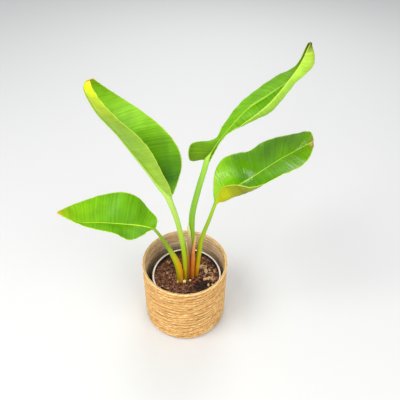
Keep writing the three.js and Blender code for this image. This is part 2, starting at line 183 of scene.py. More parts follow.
def start_material(name, **sockets):
    """A new material, with these values on its shader's own sockets. Returns it, its node tree and
    its shader."""
    made = bpy.data.materials.new(name)
    made.use_nodes = True
    shader = made.node_tree.nodes["Principled BSDF"]
    for socket, value in sockets.items():
        shader.inputs[socket.replace("_", " ")].default_value = value
    return made, made.node_tree, shader


def tint(tree, tone, colour, by, start, end, most, soft=True):
    """A tone with a colour laid over it: none where a value is at start, and the most at end."""
    cover = add(tree, "MapRange", {0: by, 1: start, 2: end, 3: 0, 4: most},
                interpolation_type="SMOOTHSTEP" if soft else "LINEAR")
    return add(tree, "Mix", {0: cover, 6: tone, 7: linear(colour)}, 2, data_type="RGBA")


def coat(tree, shader, tone, relief, strength, depth):
    """Gives a material its colour, and a relief of this depth in mm."""
    tree.links.new(tone, shader.inputs["Base Color"])
    bump = add(tree, "Bump", {"Strength": strength, "Distance": depth * MM, "Height": relief})
    tree.links.new(bump, shader.inputs["Normal"])


def leaf_face(name, tones, veins, contrast, rib_line, rib_width, edge_line, sheen, tip):
    """Living leaf: a waxy skin over soft tissue, which gives a soft highlight. Fine parallel veins
    run from the midrib to the margin, the midrib is a pale line, and the margin is thin and pale.
    Sheen is its roughness and its specular level. The tip is where the leaf has begun to dry: its
    colour, and where along the leaf it starts."""
    made, tree, shader = start_material(name, Roughness=sheen[0], IOR=1.45, Specular_IOR_Level=sheen[1])
    place = add(tree, "Attribute", attribute_name="leaf_place", out="Vector")
    reach = add(tree, "Attribute", attribute_name="leaf_reach", out="Vector")
    along = add(tree, "SeparateXYZ", {0: place})
    from_rib = add(tree, "SeparateXYZ", {0: reach})
    from_edge = add(tree, "SeparateXYZ", {0: reach}, out=1)
    where = add(tree, "TexCoord", out="Object")

    # The main veins are about 4 mm apart, with finer ones between. Their spacing and strength
    # wander, as in anything grown.
    wander = add(tree, "TexNoise", {"Vector": where, "Scale": 40, "Detail": 1})
    drift = add(tree, "Math", {0: along, 1: veins, 2: wander}, operation="MULTIPLY_ADD")
    bands = add(tree, "TexNoise", {"W": drift, "Scale": 1.8, "Detail": 4, "Roughness": 0.7},
                noise_dimensions="1D")
    banding = add(tree, "MapRange",
                  {0: bands, 1: 0.28, 2: 0.72, 3: 1 - contrast, 4: 1 + contrast})
    # Tissue grows unevenly: soft patches about 20 mm wide.
    patches = add(tree, "TexNoise", {"Vector": where, "Scale": 48, "Detail": 3})
    patching = add(tree, "MapRange", {0: patches, 1: 0.3, 2: 0.7, 3: 0.86, 4: 1.14})
    lightness = add(tree, "Math", {0: banding, 1: patching}, operation="MULTIPLY")
    tone = add(tree, "ValToRGB", {0: along}, stops=tones)
    tone = add(tree, "HueSaturation", {"Value": lightness, "Color": tone})

    dried = add(tree, "Math", {0: patches, 1: 0.08, 2: along}, operation="MULTIPLY_ADD")
    tone = tint(tree, tone, tip[0], dried, tip[1] + 0.04, tip[1] + 0.08, 1, soft=False)
    tone = tint(tree, tone, edge_line, from_edge, 1.5, 0.5, 0.85, soft=False)
    # The midrib narrows to a quarter of its width at the tip.
    width = add(tree, "Math", {0: along, 1: -0.75 * rib_width, 2: rib_width},
                operation="MULTIPLY_ADD")
    ribbing = add(tree, "Math", {0: from_rib, 1: width}, operation="DIVIDE")
    tone = tint(tree, tone, rib_line, ribbing, 1.2, 0.7, 0.9, soft=False)

    grain = add(tree, "TexNoise", {"Vector": where, "Scale": 900, "Detail": 2})
    relief = add(tree, "Math", {0: grain, 1: 0.2, 2: bands}, operation="MULTIPLY_ADD")
    coat(tree, shader, tone, relief, 0.5, 0.7)
    return made


def stalk_skin(name, tones, blush=None):
    """Living leaf stalk: smooth waxy skin over long fibres, green above and yellow where the sun
    doesn't reach. A blush is a tint on one side: its colour, its side, the heights between which it
    fades, as shares of the stalk, and its strength."""
    made, tree, shader = start_material(name, Roughness=0.34, IOR=1.45, Specular_IOR_Level=0.4)
    place = add(tree, "Attribute", attribute_name="stalk_place", out="Vector")
    along = add(tree, "SeparateXYZ", {0: place}, out=2)
    tone = add(tree, "ValToRGB", {0: along}, stops=tones)
    # Fibres about 1 mm apart run the length of the stalk.
    stretched = add(tree, "Mapping", {"Vector": place, "Scale": (1.0, 1.0, 3.0)})
    fibres = add(tree, "TexNoise", {"Vector": stretched, "Scale": 3, "Detail": 4})
    lightness = add(tree, "MapRange", {0: fibres, 1: 0.3, 2: 0.7, 3: 0.84, 4: 1.18})
    tone = add(tree, "HueSaturation", {"Value": lightness, "Color": tone})
    if blush:
        colour, direction, low, high, strength = blush
        side = add(tree, "Attribute", attribute_name="stalk_side", out="Vector")
        facing = add(tree, "VectorMath", {0: side, 1: direction}, "Value", operation="DOT_PRODUCT")
        facing = add(tree, "MapRange", {0: facing, 1: -0.1, 2: 0.7, 3: 0, 4: strength},
                     interpolation_type="SMOOTHSTEP")
        fade = add(tree, "MapRange", {0: along, 1: high, 2: low}, interpolation_type="SMOOTHSTEP")
        cover = add(tree, "Math", {0: facing, 1: fade}, operation="MULTIPLY")
        tone = add(tree, "Mix", {0: cover, 6: tone, 7: linear(colour)}, 2, data_type="RGBA")
    coat(tree, shader, tone, fibres, 0.3, 0.4)
    return made


def rough_skin(name, tones, scale, detail=5, roughness=0.9, strength=0.7, depth=0.6, upright=1):
    """Bark, peat, root or dry fibre: dull and rough, with its own tones. Upright below 1 draws its
    grain out along Z, and depth is that of its relief in mm."""
    made, tree, shader = start_material(name, Roughness=roughness)
    where = add(tree, "TexCoord", out="Object")
    where = add(tree, "Mapping", {"Vector": where, "Scale": (1, 1, upright)})
    grain = add(tree, "TexNoise", {"Vector": where, "Scale": scale, "Detail": detail})
    tone = add(tree, "ValToRGB", {0: grain}, stops=tones)
    coat(tree, shader, tone, grain, strength, depth)
    return made


# -------------------- shaping

def smooth(rows, share):
    """Points at shares of a smooth curve through rows of numbers."""
    rows = np.array(rows, float)
    if rows.ndim == 1:
        rows = rows[:, None]
    rows = np.vstack([2 * rows[0] - rows[1], rows, 2 * rows[-1] - rows[-2]])
    steps = len(rows) - 3
    place = np.clip(np.asarray(share, float), 0, 1) * steps
    first = np.minimum(place.astype(int), steps - 1)
    t = (place - first)[:, None]
    a, b, c, d = (rows[first + k] for k in range(4))
    return b + 0.5 * t * (c - a + t * (2 * a - 5 * b + 4 * c - d + t * (3 * b - a - 3 * c + d)))


def eased(share):
    """A share from 0 to 1 that starts and ends gently."""
    share = np.clip(share, 0, 1)
    return share * share * (3 - 2 * share)


def unit(vectors):
    """Rows of vectors, each at a length of 1."""
    return vectors / np.linalg.norm(vectors, axis=1, keepdims=True)


def heading(rows, share):
    """Which way a smooth curve runs at each share."""
    ahead = smooth(rows, np.minimum(share + 0.001, 1))
    return unit(ahead - smooth(rows, np.maximum(share - 0.001, 0)))


def blade_face(leaf, s, u):
    """Points of a leaf's upper face, and how wide each half is there. S runs from base to tip, and u
    from -1 at the right margin to 1 at the left."""
    share = s ** leaf["packing"]
    left = (u >= 0)[:, None]
    rib = smooth(leaf["midrib"], share)
    chord = np.where(left, smooth(leaf["left"], s), smooth(leaf["right"], s)) - rib
    turn = np.radians(np.where(left, smooth(leaf["left_turn"], s), smooth(leaf["right_turn"], s)))
    turn = np.where(np.abs(turn) < 0.002, 0.002, turn)
    up = unit(np.cross(heading(leaf["midrib"], share), chord) * np.where(left, 1, -1))
    length = np.linalg.norm(chord, axis=1, keepdims=True)
    radius = length / (2 * np.sin(turn / 2))
    angle = turn * (np.abs(u)[:, None] - 0.5)
    out = chord / length * radius * (np.sin(angle) + np.sin(turn / 2))
    return rib + out + up * radius * (np.cos(angle) - np.cos(turn / 2)), (turn * radius)[:, 0]


def blade_normal(leaf, s, u):
    """The way the upper face looks."""
    before, after = np.maximum(s - 0.004, 0), np.minimum(s + 0.004, 1)
    low, high = np.maximum(u - 0.01, -1), np.minimum(u + 0.01, 1)
    along = blade_face(leaf, after, u)[0] - blade_face(leaf, before, u)[0]
    across = blade_face(leaf, s, high)[0] - blade_face(leaf, s, low)[0]
    return unit(np.cross(along, across))


def spots(bm):
    """Where a mesh's vertices are, as rows."""
    return np.array([v.co for v in bm.verts])


def settle(bm, rows):
    """Moves a mesh's vertices to rows of points."""
    for vertex, row in zip(bm.verts, rows):
        vertex.co = row


def piece(name, bm, materials, replaces=(), notes=None, shade=True):
    """A mesh in mm as a piece of the object: in metres, riding on the body, with its materials.
    Notes are named rows that the materials read, of three numbers or of one."""
    mesh = bpy.data.meshes.new(name)
    bmesh.ops.scale(bm, vec=(MM, MM, MM), verts=bm.verts)
    bm.to_mesh(mesh)
    bm.free()
    for field, rows in (notes or {}).items():
        rows = np.asarray(rows, np.float32)
        kind, value = ("FLOAT", "value") if rows.ndim == 1 else ("FLOAT_VECTOR", "vector")
        mesh.attributes.new(field, kind, "POINT").data.foreach_set(value, rows.ravel())
    if shade:
        mesh.shade_smooth()
    else:
        mesh.shade_flat()
    for material in materials:
        mesh.materials.append(material)
    made = bpy.data.objects.new(name, mesh)
    scene.collection.objects.link(made)
    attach(made, "root")
    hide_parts(*replaces)
    return made


def thicken(made, thickness, inner_material=0):
    """Gives a sheet its thickness, on the side that its faces turn away from."""
    wall = made.modifiers.new("thickness", "SOLIDIFY")
    wall.thickness = thickness * MM
    wall.offset = -1
    wall.material_offset = inner_material
    wall.material_offset_rim = inner_material


# -------------------- leaves

BLADE_COLUMNS = 64
BLADE_ROWS = 200
PLEAT_START = 5
CRIMP_REACH = 9
CRIMP_HEIGHT = 0.4
FLAT_END = 0.08


def build_blade(name, leaf, materials):
    """A thin blade. Pleats 0.1 to 0.2 mm high start a little way from the midrib, the margin is
    slightly crimped, and both end short of the base and the tip."""
    bm = bmesh.new()
    bmesh.ops.create_grid(bm, x_segments=BLADE_COLUMNS, y_segments=BLADE_ROWS, size=1)
    flat = spots(bm)
    s = (flat[:, 1] + 1) / 2
    u = -np.sign(flat[:, 0]) * (0.5 * np.abs(flat[:, 0]) + 0.5 * flat[:, 0] ** 2)
    points, width = blade_face(leaf, s, u)
    normal = blade_normal(leaf, s, u)
    away = np.abs(u) * width
    inland = (1 - np.abs(u)) * width
    ends = np.clip(s / FLAT_END, 0, 1) * np.clip((1 - s) / FLAT_END, 0, 1)
    veins = leaf["veins"]
    pleats = 0.08 * np.sin(TURN * veins * s) + 0.16 * np.sin(TURN * 0.37 * veins * s + u)
    pleats += 0.22 * np.sin(TURN * 0.15 * veins * s + 2 * u + 1)
    height = pleats * np.clip(away / PLEAT_START, 0, 1) * ends
    crimp = CRIMP_HEIGHT * np.clip(1 - inland / CRIMP_REACH, 0, 1) ** 2 * ends
    height += crimp * np.sin(TURN * (15 * s + 0.3 * np.sign(u))) * np.sin(TURN * 3.7 * s + 1)
    settle(bm, points + normal * height[:, None])
    notes = {
        "leaf_place": np.column_stack([s, u, 0 * s]),
        "leaf_reach": np.column_stack([away, inland, 0 * s]),
    }
    made = piece("blade_" + name, bm, materials, ["blade_" + name], notes)
    thicken(made, BLADE_THICKNESS, 1)


GROOVE_DEPTH = 0.16


def tube(centres, radii, sides, groove=None):
    """A round tube through centres, with closed ends. A groove is a unit vector for each ring, the
    side that it is channelled on, to a share of its radius. Returns the mesh, and notes: where each
    place lies round its centre, how far along it lies in mm, and the side that it faces."""
    rings = len(centres) - 1
    bm = bmesh.new()
    bmesh.ops.create_cone(bm, cap_ends=True, segments=sides, radius1=1, radius2=1, depth=1)
    upright = [e for e in bm.edges if abs(e.verts[0].co.z - e.verts[1].co.z) > 0.5]
    bmesh.ops.subdivide_edges(bm, edges=upright, cuts=rings - 1)
    flat = spots(bm)
    ring = np.rint((flat[:, 2] + 0.5) * rings).astype(int)
    ahead = unit(np.gradient(centres, axis=0))
    right = unit(np.cross(ahead, (0, 1, 0)))
    back = np.cross(right, ahead)
    side = right[ring] * flat[:, [0]] + back[ring] * flat[:, [1]]
    reach = radii[ring].copy()
    if groove is not None:
        facing = np.sum(side * groove[ring], axis=1)
        reach *= 1 - GROOVE_DEPTH * np.clip(facing, 0, 1) ** 8
    settle(bm, centres[ring] + side * reach[:, None])
    bmesh.ops.recalc_face_normals(bm, faces=bm.faces)
    run = np.concatenate([[0], np.cumsum(np.linalg.norm(np.diff(centres, axis=0), axis=1))])
    notes = {"round": side * reach[:, None], "run": run[ring], "side": side}
    return bm, notes


STALK_RINGS = 90
RIB_RINGS = 110
STALK_SIDES = 28


def build_stalk(name, leaf, skin, rib_skin):
    """A leaf stalk, and the midrib that it runs on into under the blade."""
    share = np.linspace(0, 1, STALK_RINGS)
    stem = smooth(leaf["stalk"], share)
    along = np.linspace(0.004, 1, RIB_RINGS)
    s = along ** (1 / leaf["packing"])
    face = unit(blade_normal(leaf, s, 0 * s + 0.012) + blade_normal(leaf, s, 0 * s - 0.012))
    # The midrib starts as thick as the stalk, and sinks under the blade over its first eighth.
    thick = leaf["rib"][0] + (leaf["rib"][1] - leaf["rib"][0]) * along
    thick += (leaf["stalk"][-1][3] - thick[0]) * np.exp(-along / 0.05)
    sink = eased(along / 0.12) * (thick + 0.25)
    rib = smooth(leaf["midrib"], along) - face * sink[:, None]
    centres = np.vstack([stem[:, :3], rib])
    radii = np.concatenate([stem[:, 3], thick])
    groove = np.vstack([np.repeat(face[:1], STALK_RINGS, axis=0), face])
    for label, first, last, finish, replaced in (
        ("stalk_", 0, STALK_RINGS, skin, ["stalk_" + name]),
        ("midrib_", STALK_RINGS - 1, len(centres), rib_skin, []),
    ):
        bm, notes = tube(centres[first:last], radii[first:last], STALK_SIDES,
                         groove[first:last])
        height = notes["run"] / notes["run"].max()
        notes = {
            "stalk_place": np.column_stack([notes["round"][:, 0], notes["round"][:, 1], height]),
            "stalk_side": notes["side"],
        }
        piece(label + name, bm, [finish], replaced, notes)


# The tones of each leaf, from its base to its tip, and of its stalk from the soil up.
LEAF_LOOKS = {
    "lower_left": {
        "upper": [(0.0, "#70a400"), (0.25, "#609c00"), (0.6, "#68a800"), (0.85, "#80b800"),
                  (1.0, "#a0bc00")],
        "under": [(0.0, "#a8cc3c"), (0.5, "#98c42c"), (1.0, "#b8c82c")],
        "tip": ("#d8b020", 0.95),
        "rib_line": "#c4e43c",
        "stalk": [(0.0, "#b8b00c"), (0.25, "#b4bc10"), (0.5, "#a0bc14"), (0.75, "#7c9c14"),
                  (1.0, "#8cb424")],
        "blush": ("#f0a81c", (1.0, -0.3, 0.0), 0.25, 0.7, 0.95),
        "sheen": (0.42, 0.2),
    },
    "upper_left": {
        "upper": [(0.0, "#8cc428"), (0.09, "#5c980c"), (0.16, "#3c7802"), (0.36, "#68a802"),
                  (0.62, "#9cd830"), (0.82, "#94d018"), (1.0, "#98b808")],
        "under": [(0.0, "#a8cc48"), (0.3, "#9cc43c"), (0.5, "#90bc38"), (0.66, "#94b820"),
                  (0.8, "#b8d008"), (0.92, "#e4f008"), (1.0, "#f4f438")],
        "tip": ("#e0a020", 0.965),
        "rib_line": "#b0d850",
        "stalk": [(0.0, "#ccb410"), (0.2, "#bcc410"), (0.45, "#a0c41c"), (0.7, "#acd448"),
                  (1.0, "#b8dc60")],
        "blush": ("#d08c38", (1.0, -0.2, 0.0), 0.1, 0.35, 0.6),
        "sheen": (0.4, 0.22),
    },
    "tall": {
        # The tall leaf's darker tones at its base stand for the shade on its ear: painted shade.
        "upper": [(0.0, "#648c02"), (0.15, "#608802"), (0.35, "#70a80c"), (0.6, "#6cac04"),
                  (0.85, "#609402"), (1.0, "#546c04")],
        "under": [(0.0, "#90bc38"), (0.3, "#8cb830"), (0.55, "#94c438"), (0.85, "#acdc44"),
                  (1.0, "#a0b430")],
        "tip": ("#4c5410", 0.955),
        "rib_line": "#a8d440",
        "stalk": [(0.0, "#a09810"), (0.2, "#8cb408"), (0.5, "#80b018"), (0.75, "#8cc034"),
                  (1.0, "#a8d848")],
        "blush": None,
        "sheen": (0.42, 0.2),
    },
    "right": {
        "upper": [(0.0, "#b4e410"), (0.18, "#a4dc1c"), (0.29, "#8ccc18"), (0.38, "#5c9800"),
                  (0.6, "#609c00"), (0.92, "#609400"), (1.0, "#708804")],
        "under": [(0.0, "#ccd408"), (0.2, "#b0b808"), (0.34, "#848c1c"), (0.6, "#90b030"),
                  (1.0, "#a0ac30")],
        "tip": ("#988420", 0.965),
        "rib_line": "#b8e434",
        "stalk": [(0.0, "#d8a008"), (0.2, "#e0b810"), (0.4, "#b4c00c"), (0.7, "#94b410"),
                  (1.0, "#a0c414")],
        "blush": ("#e8802c", (-1.0, -0.2, 0.0), 0.12, 0.42, 0.7),
        "sheen": (0.17, 0.48),
    },
}

for leaf_name, leaf in LEAVES.items():
    looks = LEAF_LOOKS[leaf_name]
    upper = leaf_face(
        "leaf_upper_face_" + leaf_name, looks["upper"], leaf["veins"], 0.2, looks["rib_line"], 1.5,
        "#c4dc50", looks["sheen"], looks["tip"])
    under = leaf_face(
        "leaf_underside_" + leaf_name, looks["under"], leaf["veins"], 0.1, "#b4d860", 2.0,
        "#c8e054", (0.55, 0.2), looks["tip"])
    build_blade(leaf_name, leaf, [upper, under])
    skin = stalk_skin("stalk_skin_" + leaf_name, looks["stalk"], looks["blush"])
    rib_tones = [(0.0, looks["stalk"][-1][1]), (0.3, looks["rib_line"]), (1.0, "#b4d44c")]
    rib_skin = stalk_skin("midrib_skin_" + leaf_name, rib_tones)
    build_stalk(leaf_name, leaf, skin, rib_skin)

# -------------------- bracts and cut stubs

def dry_skin(name, tones, streak, roughness=0.6, cast=None):
    """A dry bract, the small leaf that wraps a young stalk: thin papery skin, with long fibres that
    dry to a darker streak. A cast is a tint over its right half."""
    made, tree, shader = start_material(name, Roughness=roughness, IOR=1.45, Specular_IOR_Level=0.4)
    place = add(tree, "Attribute", attribute_name="leaf_place", out="Vector")
    along = add(tree, "SeparateXYZ", {0: place})
    across = add(tree, "SeparateXYZ", {0: place}, out=1)
    tone = add(tree, "ValToRGB", {0: along}, stops=tones)
    if cast:
        tone = tint(tree, tone, cast, across, -0.1, 0.3, 0.85)
    # Fibres about 1 mm apart, drawn from foot to tip.
    stretched = add(tree, "Mapping", {"Vector": place, "Scale": (4.0, 9.0, 1.0)})
    fibres = add(tree, "TexNoise", {"Vector": stretched, "Scale": 2.2, "Detail": 5})
    tone = tint(tree, tone, streak, fibres, 0.5, 0.68, 0.7)
    coat(tree, shader, tone, fibres, 0.4, 0.4)
    return made


# Open bracts clasp the foot of a stalk: the stalk, the shares of its length that they cover, the
# side they lie on in degrees from the left, their half angle at the foot, and their thickness.
BRACTS = {
    "sheath_papery": ("tall", 0.02, 0.33, -45, 75, 0.7),
    "sheath_brown": ("upper_left", 0.03, 0.4, 200, 46, 0.8),
}
BRACT_SKINS = {
    "sheath_papery": dry_skin(
        "papery_bract_skin",
        [(0.0, "#84502c"), (0.4, "#c09880"), (0.65, "#dcc490"), (0.85, "#ecec90"), (1.0, "#fcf0c0")],
        "#8c7058"),
    "sheath_brown": dry_skin(
        "brown_bract_skin",
        [(0.0, "#9c6020"), (0.5, "#b8702c"), (0.8, "#c49858"), (1.0, "#d8c8a0")], "#8c5028"),
}

for name, (owner, start, end, facing, half, thick) in BRACTS.items():
    bm = bmesh.new()
    bmesh.ops.create_grid(bm, x_segments=24, y_segments=80, size=1)
    flat = spots(bm)
    s, u = (flat[:, 1] + 1) / 2, -flat[:, 0]
    path = LEAVES[owner]["stalk"]
    share = start + (end - start) * s
    stem = smooth(path, share)
    ahead = heading(np.array(path)[:, :3], share)
    right = unit(np.cross(ahead, (0, 1, 0)))
    back = np.cross(right, ahead)
    reach = half * np.sqrt(1 - s * 0.97) * (1 + 0.05 * np.sin(17 * s + 2 * u))
    angle = np.radians(facing + u * reach)
    # The margins and the tip stand a little off the stalk, as drying bracts do.
    lift = stem[:, 3] + 0.9 + 0.55 * np.abs(u) ** 3 + 0.7 * s ** 4 + 0.12 * np.sin(9 * angle) * s
    side = right * np.cos(angle)[:, None] + back * np.sin(angle)[:, None]
    settle(bm, stem[:, :3] + side * lift[:, None])
    bmesh.ops.reverse_faces(bm, faces=bm.faces)
    made = piece(name, bm, [BRACT_SKINS[name]], [name],
                 {"leaf_place": np.column_stack([s, u, 0 * s])})
    thicken(made, thick)

# A red bract, still rolled up round its bud, stands like a spear between two stalks.
SPEAR = [(11, -7, 82, 3.9), (12.3, -6.4, 109, 4.1), (13.6, -5.8, 140, 4), (15, -5.2, 166, 3),
         (17.2, -4.6, 186, 1.7), (19.6, -4, 199, 0.6)]
red_skin = dry_skin(
    "red_bract_skin",
    [(0.0, "#a85018"), (0.3, "#cc6c28"), (0.6, "#d87c40"), (0.85, "#e8a068"), (1.0, "#f0cc88")],
    "#b03c1c", 0.42, "#e8a028")
stem = smooth(SPEAR, np.linspace(0, 1, 80))
bm, notes = tube(stem[:, :3], stem[:, 3], 40)
rise = notes["run"] / notes["run"].max()
bearing = np.arctan2(notes["side"][:, 0], -notes["side"][:, 1])
# The roll's free edge winds once round the spear, as a low step.
step = ((bearing - 0.6 - 2.6 * rise) % TURN) / TURN
settle(bm, spots(bm) - notes["round"] * (0.2 * step)[:, None])
piece("sheath_red", bm, [red_skin], ["sheath_red"],
      {"leaf_place": np.column_stack([rise, bearing / math.pi, 0 * rise])})

STUBS = {
    "stub_front": [(1, -16, 80, 3.1), (0.5, -17, 90, 3.3), (-0.5, -18.5, 99, 3.1)],
    "stub_small": [(8.6, -13.6, 80, 2.1), (9, -14, 90, 2.2), (9.4, -14.4, 97, 2.0)],
}

# The husk of an old cut stalk: brown and yellow fibres, about 1 mm apart.
husk = rough_skin("dry_stub_husk", [(0.3, "#7c5c24"), (0.5, "#b4943c"), (0.7, "#e0d068")], 900,
                  detail=4, roughness=0.7, strength=0.5, depth=0.5, upright=0.15)

# The cut face is pale pith, with the ends of the fibres as darker dots about 0.7 mm apart.
pith, tree, shader = start_material("cut_stub_pith", Roughness=0.55)
where = add(tree, "TexCoord", out="Object")
dots = add(tree, "TexVoronoi", {"Vector": where, "Scale": 1400}, out="Distance")
tone = add(tree, "ValToRGB", {0: dots},
           stops=[(0.1, "#b8a850"), (0.4, "#f4f0a8"), (1.0, "#fcf8c8")])
coat(tree, shader, tone, dots, 0.5, 0.4)

for name, path in STUBS.items():
    stem = smooth(path, np.linspace(0, 1, 16))
    bm, notes = tube(stem[:, :3], stem[:, 3], 24)
    cut = [f for f in bm.faces if len(f.verts) > 4 and f.calc_center_median().z > 95]
    for face in bmesh.ops.inset_region(bm, faces=cut, thickness=0.35, depth=-0.15)["faces"]:
        face.material_index = 0
    for face in cut:
        face.material_index = 1
    ends = [v for v in bm.verts if v.co.z > path[-1][2] - 1.2]
    for vertex in ends:
        vertex.co.z += 0.5 * noise.noise(vertex.co * 0.4) + 0.25 * (vertex.co.x - path[-1][0])
    piece(name, bm, [husk, pith], [name])

# -------------------- pot, soil and roots

def turned(profile, sides):
    """A closed profile of radius and height, spun once round the Z axis."""
    bm = bmesh.new()
    corners = [bm.verts.new((radius, 0, height)) for radius, height in profile]
    ring = [bm.edges.new((a, b)) for a, b in zip(corners, corners[1:])]
    bmesh.ops.spin(bm, geom=corners + ring, cent=(0, 0, 0), axis=(0, 0, 1), angle=TURN,
                   steps=sides, use_merge=True)
    bmesh.ops.remove_doubles(bm, verts=bm.verts, dist=0.0005)
    bmesh.ops.recalc_face_normals(bm, faces=bm.faces)
    return bm


# Nursery pot: thermoformed polypropylene, black, with faint upright draw marks and a dusty bloom.
pot_black, tree, shader = start_material("black_polypropylene", Roughness=0.38, IOR=1.49)
where = add(tree, "TexCoord", out="Object")
dust = add(tree, "TexNoise", {"Vector": where, "Scale": 120, "Detail": 5})
tone = tint(tree, linear("#242426"), "#6a6460", dust, 0.5, 0.75, 0.5)
drawn = add(tree, "Mapping", {"Vector": where, "Scale": (1.0, 1.0, 0.1)})
marks = add(tree, "TexNoise", {"Vector": drawn, "Scale": 500, "Detail": 2})
coat(tree, shader, tone, marks, 0.2, 0.3)

# The rolled lip is painted near white: a painted highlight for the shine on the black rim, dusted pink
# and brown by the soil.
pot_lip_highlight, tree, shader = start_material("lip_painted_highlight", Roughness=0.35, IOR=1.49)
where = add(tree, "TexCoord", out="Object")
dust = add(tree, "TexNoise", {"Vector": where, "Scale": 90, "Detail": 4})
tone = tint(tree, linear("#fcf0e8"), "#c8a090", dust, 0.5, 0.75, 0.7)
tree.links.new(tone, shader.inputs["Base Color"])

BAND_LOW = POT_TOP - POT_BAND
WALL_TOP = BAND_LOW - POT_STEP


def pot_radius(height):
    """The outer radius of the pot at a height: a tapered wall with an upright band over it."""
    if height > WALL_TOP:
        return POT_RIM
    share = (height - POT_FLOOR) / (WALL_TOP - POT_FLOOR)
    return POT_FOOT + share * (POT_RIM - POT_STEP - POT_FOOT)


lip_in = POT_RIM - LIP_WIDTH
pot_profile = [
    (0, POT_FLOOR + 2.5), (POT_FOOT - 6, POT_FLOOR + 2.5), (POT_FOOT - 5, POT_FLOOR),
    (POT_FOOT, POT_FLOOR), (pot_radius(WALL_TOP), WALL_TOP), (POT_RIM, BAND_LOW),
    (POT_RIM, POT_TOP - 1.9), (POT_RIM, POT_TOP - 1), (POT_RIM - 0.4, POT_TOP - 0.3),
    (POT_RIM - 1.1, POT_TOP), (lip_in + 1, POT_TOP), (lip_in + 0.3, POT_TOP - 0.3),
    (lip_in, POT_TOP - 0.9), (lip_in + 0.3, POT_TOP - 1.5), (lip_in + 1, POT_TOP - 1.8),
    (POT_RIM - POT_WALL, POT_TOP - LIP_DEPTH), (POT_RIM - POT_WALL, BAND_LOW + 0.5),
    (pot_radius(WALL_TOP) - POT_WALL, WALL_TOP + 0.5),
    (pot_radius(POT_FLOOR + 6) - POT_WALL, POT_FLOOR + 6),
    (pot_radius(POT_FLOOR + 6) - POT_WALL - 2, POT_FLOOR + 4), (0, POT_FLOOR + 4),
]
bm = turned(pot_profile, 144)
for face in bm.faces:
    # The first material is the black sheet, and the second the lip's painted highlight.
    face.material_index = 1 if face.calc_center_median().z > POT_TOP - LIP_DEPTH + 0.05 else 0
bmesh.ops.translate(bm, vec=(*POT_AT, 0), verts=bm.verts)
pot = piece("nursery_pot", bm, [pot_black, pot_lip_highlight], ["nursery_pot"])
bevel = pot.modifiers.new("soft_edges", "BEVEL")
bevel.width = 0.2 * MM
bevel.segments = 2
bevel.limit_method = "ANGLE"

# Potting soil: dark peat with reddish bark fines and pale dry fibre. Damp lumps from 1 to 6 mm.
soil_mix, tree, shader = start_material("damp_potting_soil", Roughness=0.95)
where = add(tree, "TexCoord", out="Object")
lumps = add(tree, "TexNoise", {"Vector": where, "Scale": 190, "Detail": 8, "Roughness": 0.7})
tone = add(tree, "ValToRGB", {0: lumps}, stops=[
    (0.3, "#1c1008"), (0.42, "#4c2c1c"), (0.52, "#84543c"), (0.63, "#b48464"), (0.75, "#dcb48c")])
reds = add(tree, "TexNoise", {"Vector": where, "Scale": 55, "Detail": 2})
tone = tint(tree, tone, "#6c3c20", reds, 0.5, 0.7, 0.5)
# A patch about 35 mm across at the front right is painted darker: painted shade.
SHADE_PATCH_AT = (32, -24, 94)
SHADE_PATCH_REACH = 16
centred = add(tree, "Mapping", {"Vector": where, "Location": [-c * MM for c in SHADE_PATCH_AT]})
away = add(tree, "VectorMath", {0: centred}, "Value", operation="LENGTH")
painted_shade_mask = add(tree, "Math", {0: reds, 1: 0.014, 2: away}, operation="MULTIPLY_ADD")
tone = tint(tree, tone, "#140e0a", painted_shade_mask, 0.03, 0.018, 0.9)
coat(tree, shader, tone, lumps, 0.9, 1.4)


def soil_height(x, y):
    """How high the soil lies at a place: hollows, a mound at the crown and a bank at the wall."""
    hollows = 1.1 * math.sin(0.21 * x + 1) * math.cos(0.17 * y)
    hollows += 0.7 * math.sin(0.43 * x - 0.35 * y)
    mound = math.hypot(x - CROWN_AT[0], y - CROWN_AT[1]) / 22
    out = math.hypot(x - POT_AT[0], y - POT_AT[1]) / pot_radius(SOIL_LEVEL)
    bank = float(eased((out - BANK_FROM) / (1 - BANK_FROM)))
    return SOIL_LEVEL + hollows + SOIL_MOUND * math.exp(-mound * mound) + SOIL_BANK * bank


soil_inside = pot_radius(SOIL_LEVEL) - POT_WALL - 0.25
soil_low = POT_FLOOR + 4.6
soil_rings = [(soil_inside * share, SOIL_LEVEL) for share in np.linspace(1.02, 0, 56)]
soil_profile = [(0, soil_low), (pot_radius(soil_low) - POT_WALL - 3, soil_low),
                (pot_radius(soil_low + 3) - POT_WALL - 0.5, soil_low + 3),
                (soil_inside - 0.3, SOIL_LEVEL - 2), *soil_rings]
bm = turned(soil_profile, 200)
bmesh.ops.translate(bm, vec=(*POT_AT, 0), verts=bm.verts)
for vertex in bm.verts:
    if vertex.co.z > SOIL_LEVEL - 0.01:
        x, y, _ = vertex.co
        rough = noise.fractal(Vector((x, y, 0)) * 0.17, 0.8, 2.1, 6)
        vertex.co.z = soil_height(x, y) + 1.7 * rough
piece("soil", bm, [soil_mix], ["soil"])

# The rootstock is hidden under the soil: a woody crown with thick pale roots.
root_bark = rough_skin("root_bark", [(0.3, "#5c3c1c"), (0.5, "#a87c44"), (0.7, "#dcb878")], 320,
                       roughness=0.8, strength=0.6)
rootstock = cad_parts["rootstock"]
rootstock.data.materials.clear()
rootstock.data.materials.append(root_bark)

# -------------------- loose bits on the soil

rng = np.random.default_rng(11)


def on_soil(turn, out):
    """A place on the soil, by its bearing and its share of the way out to the pot."""
    x = POT_AT[0] + soil_inside * out * math.cos(turn)
    y = POT_AT[1] + soil_inside * out * math.sin(turn)
    return x, y, soil_height(x, y)


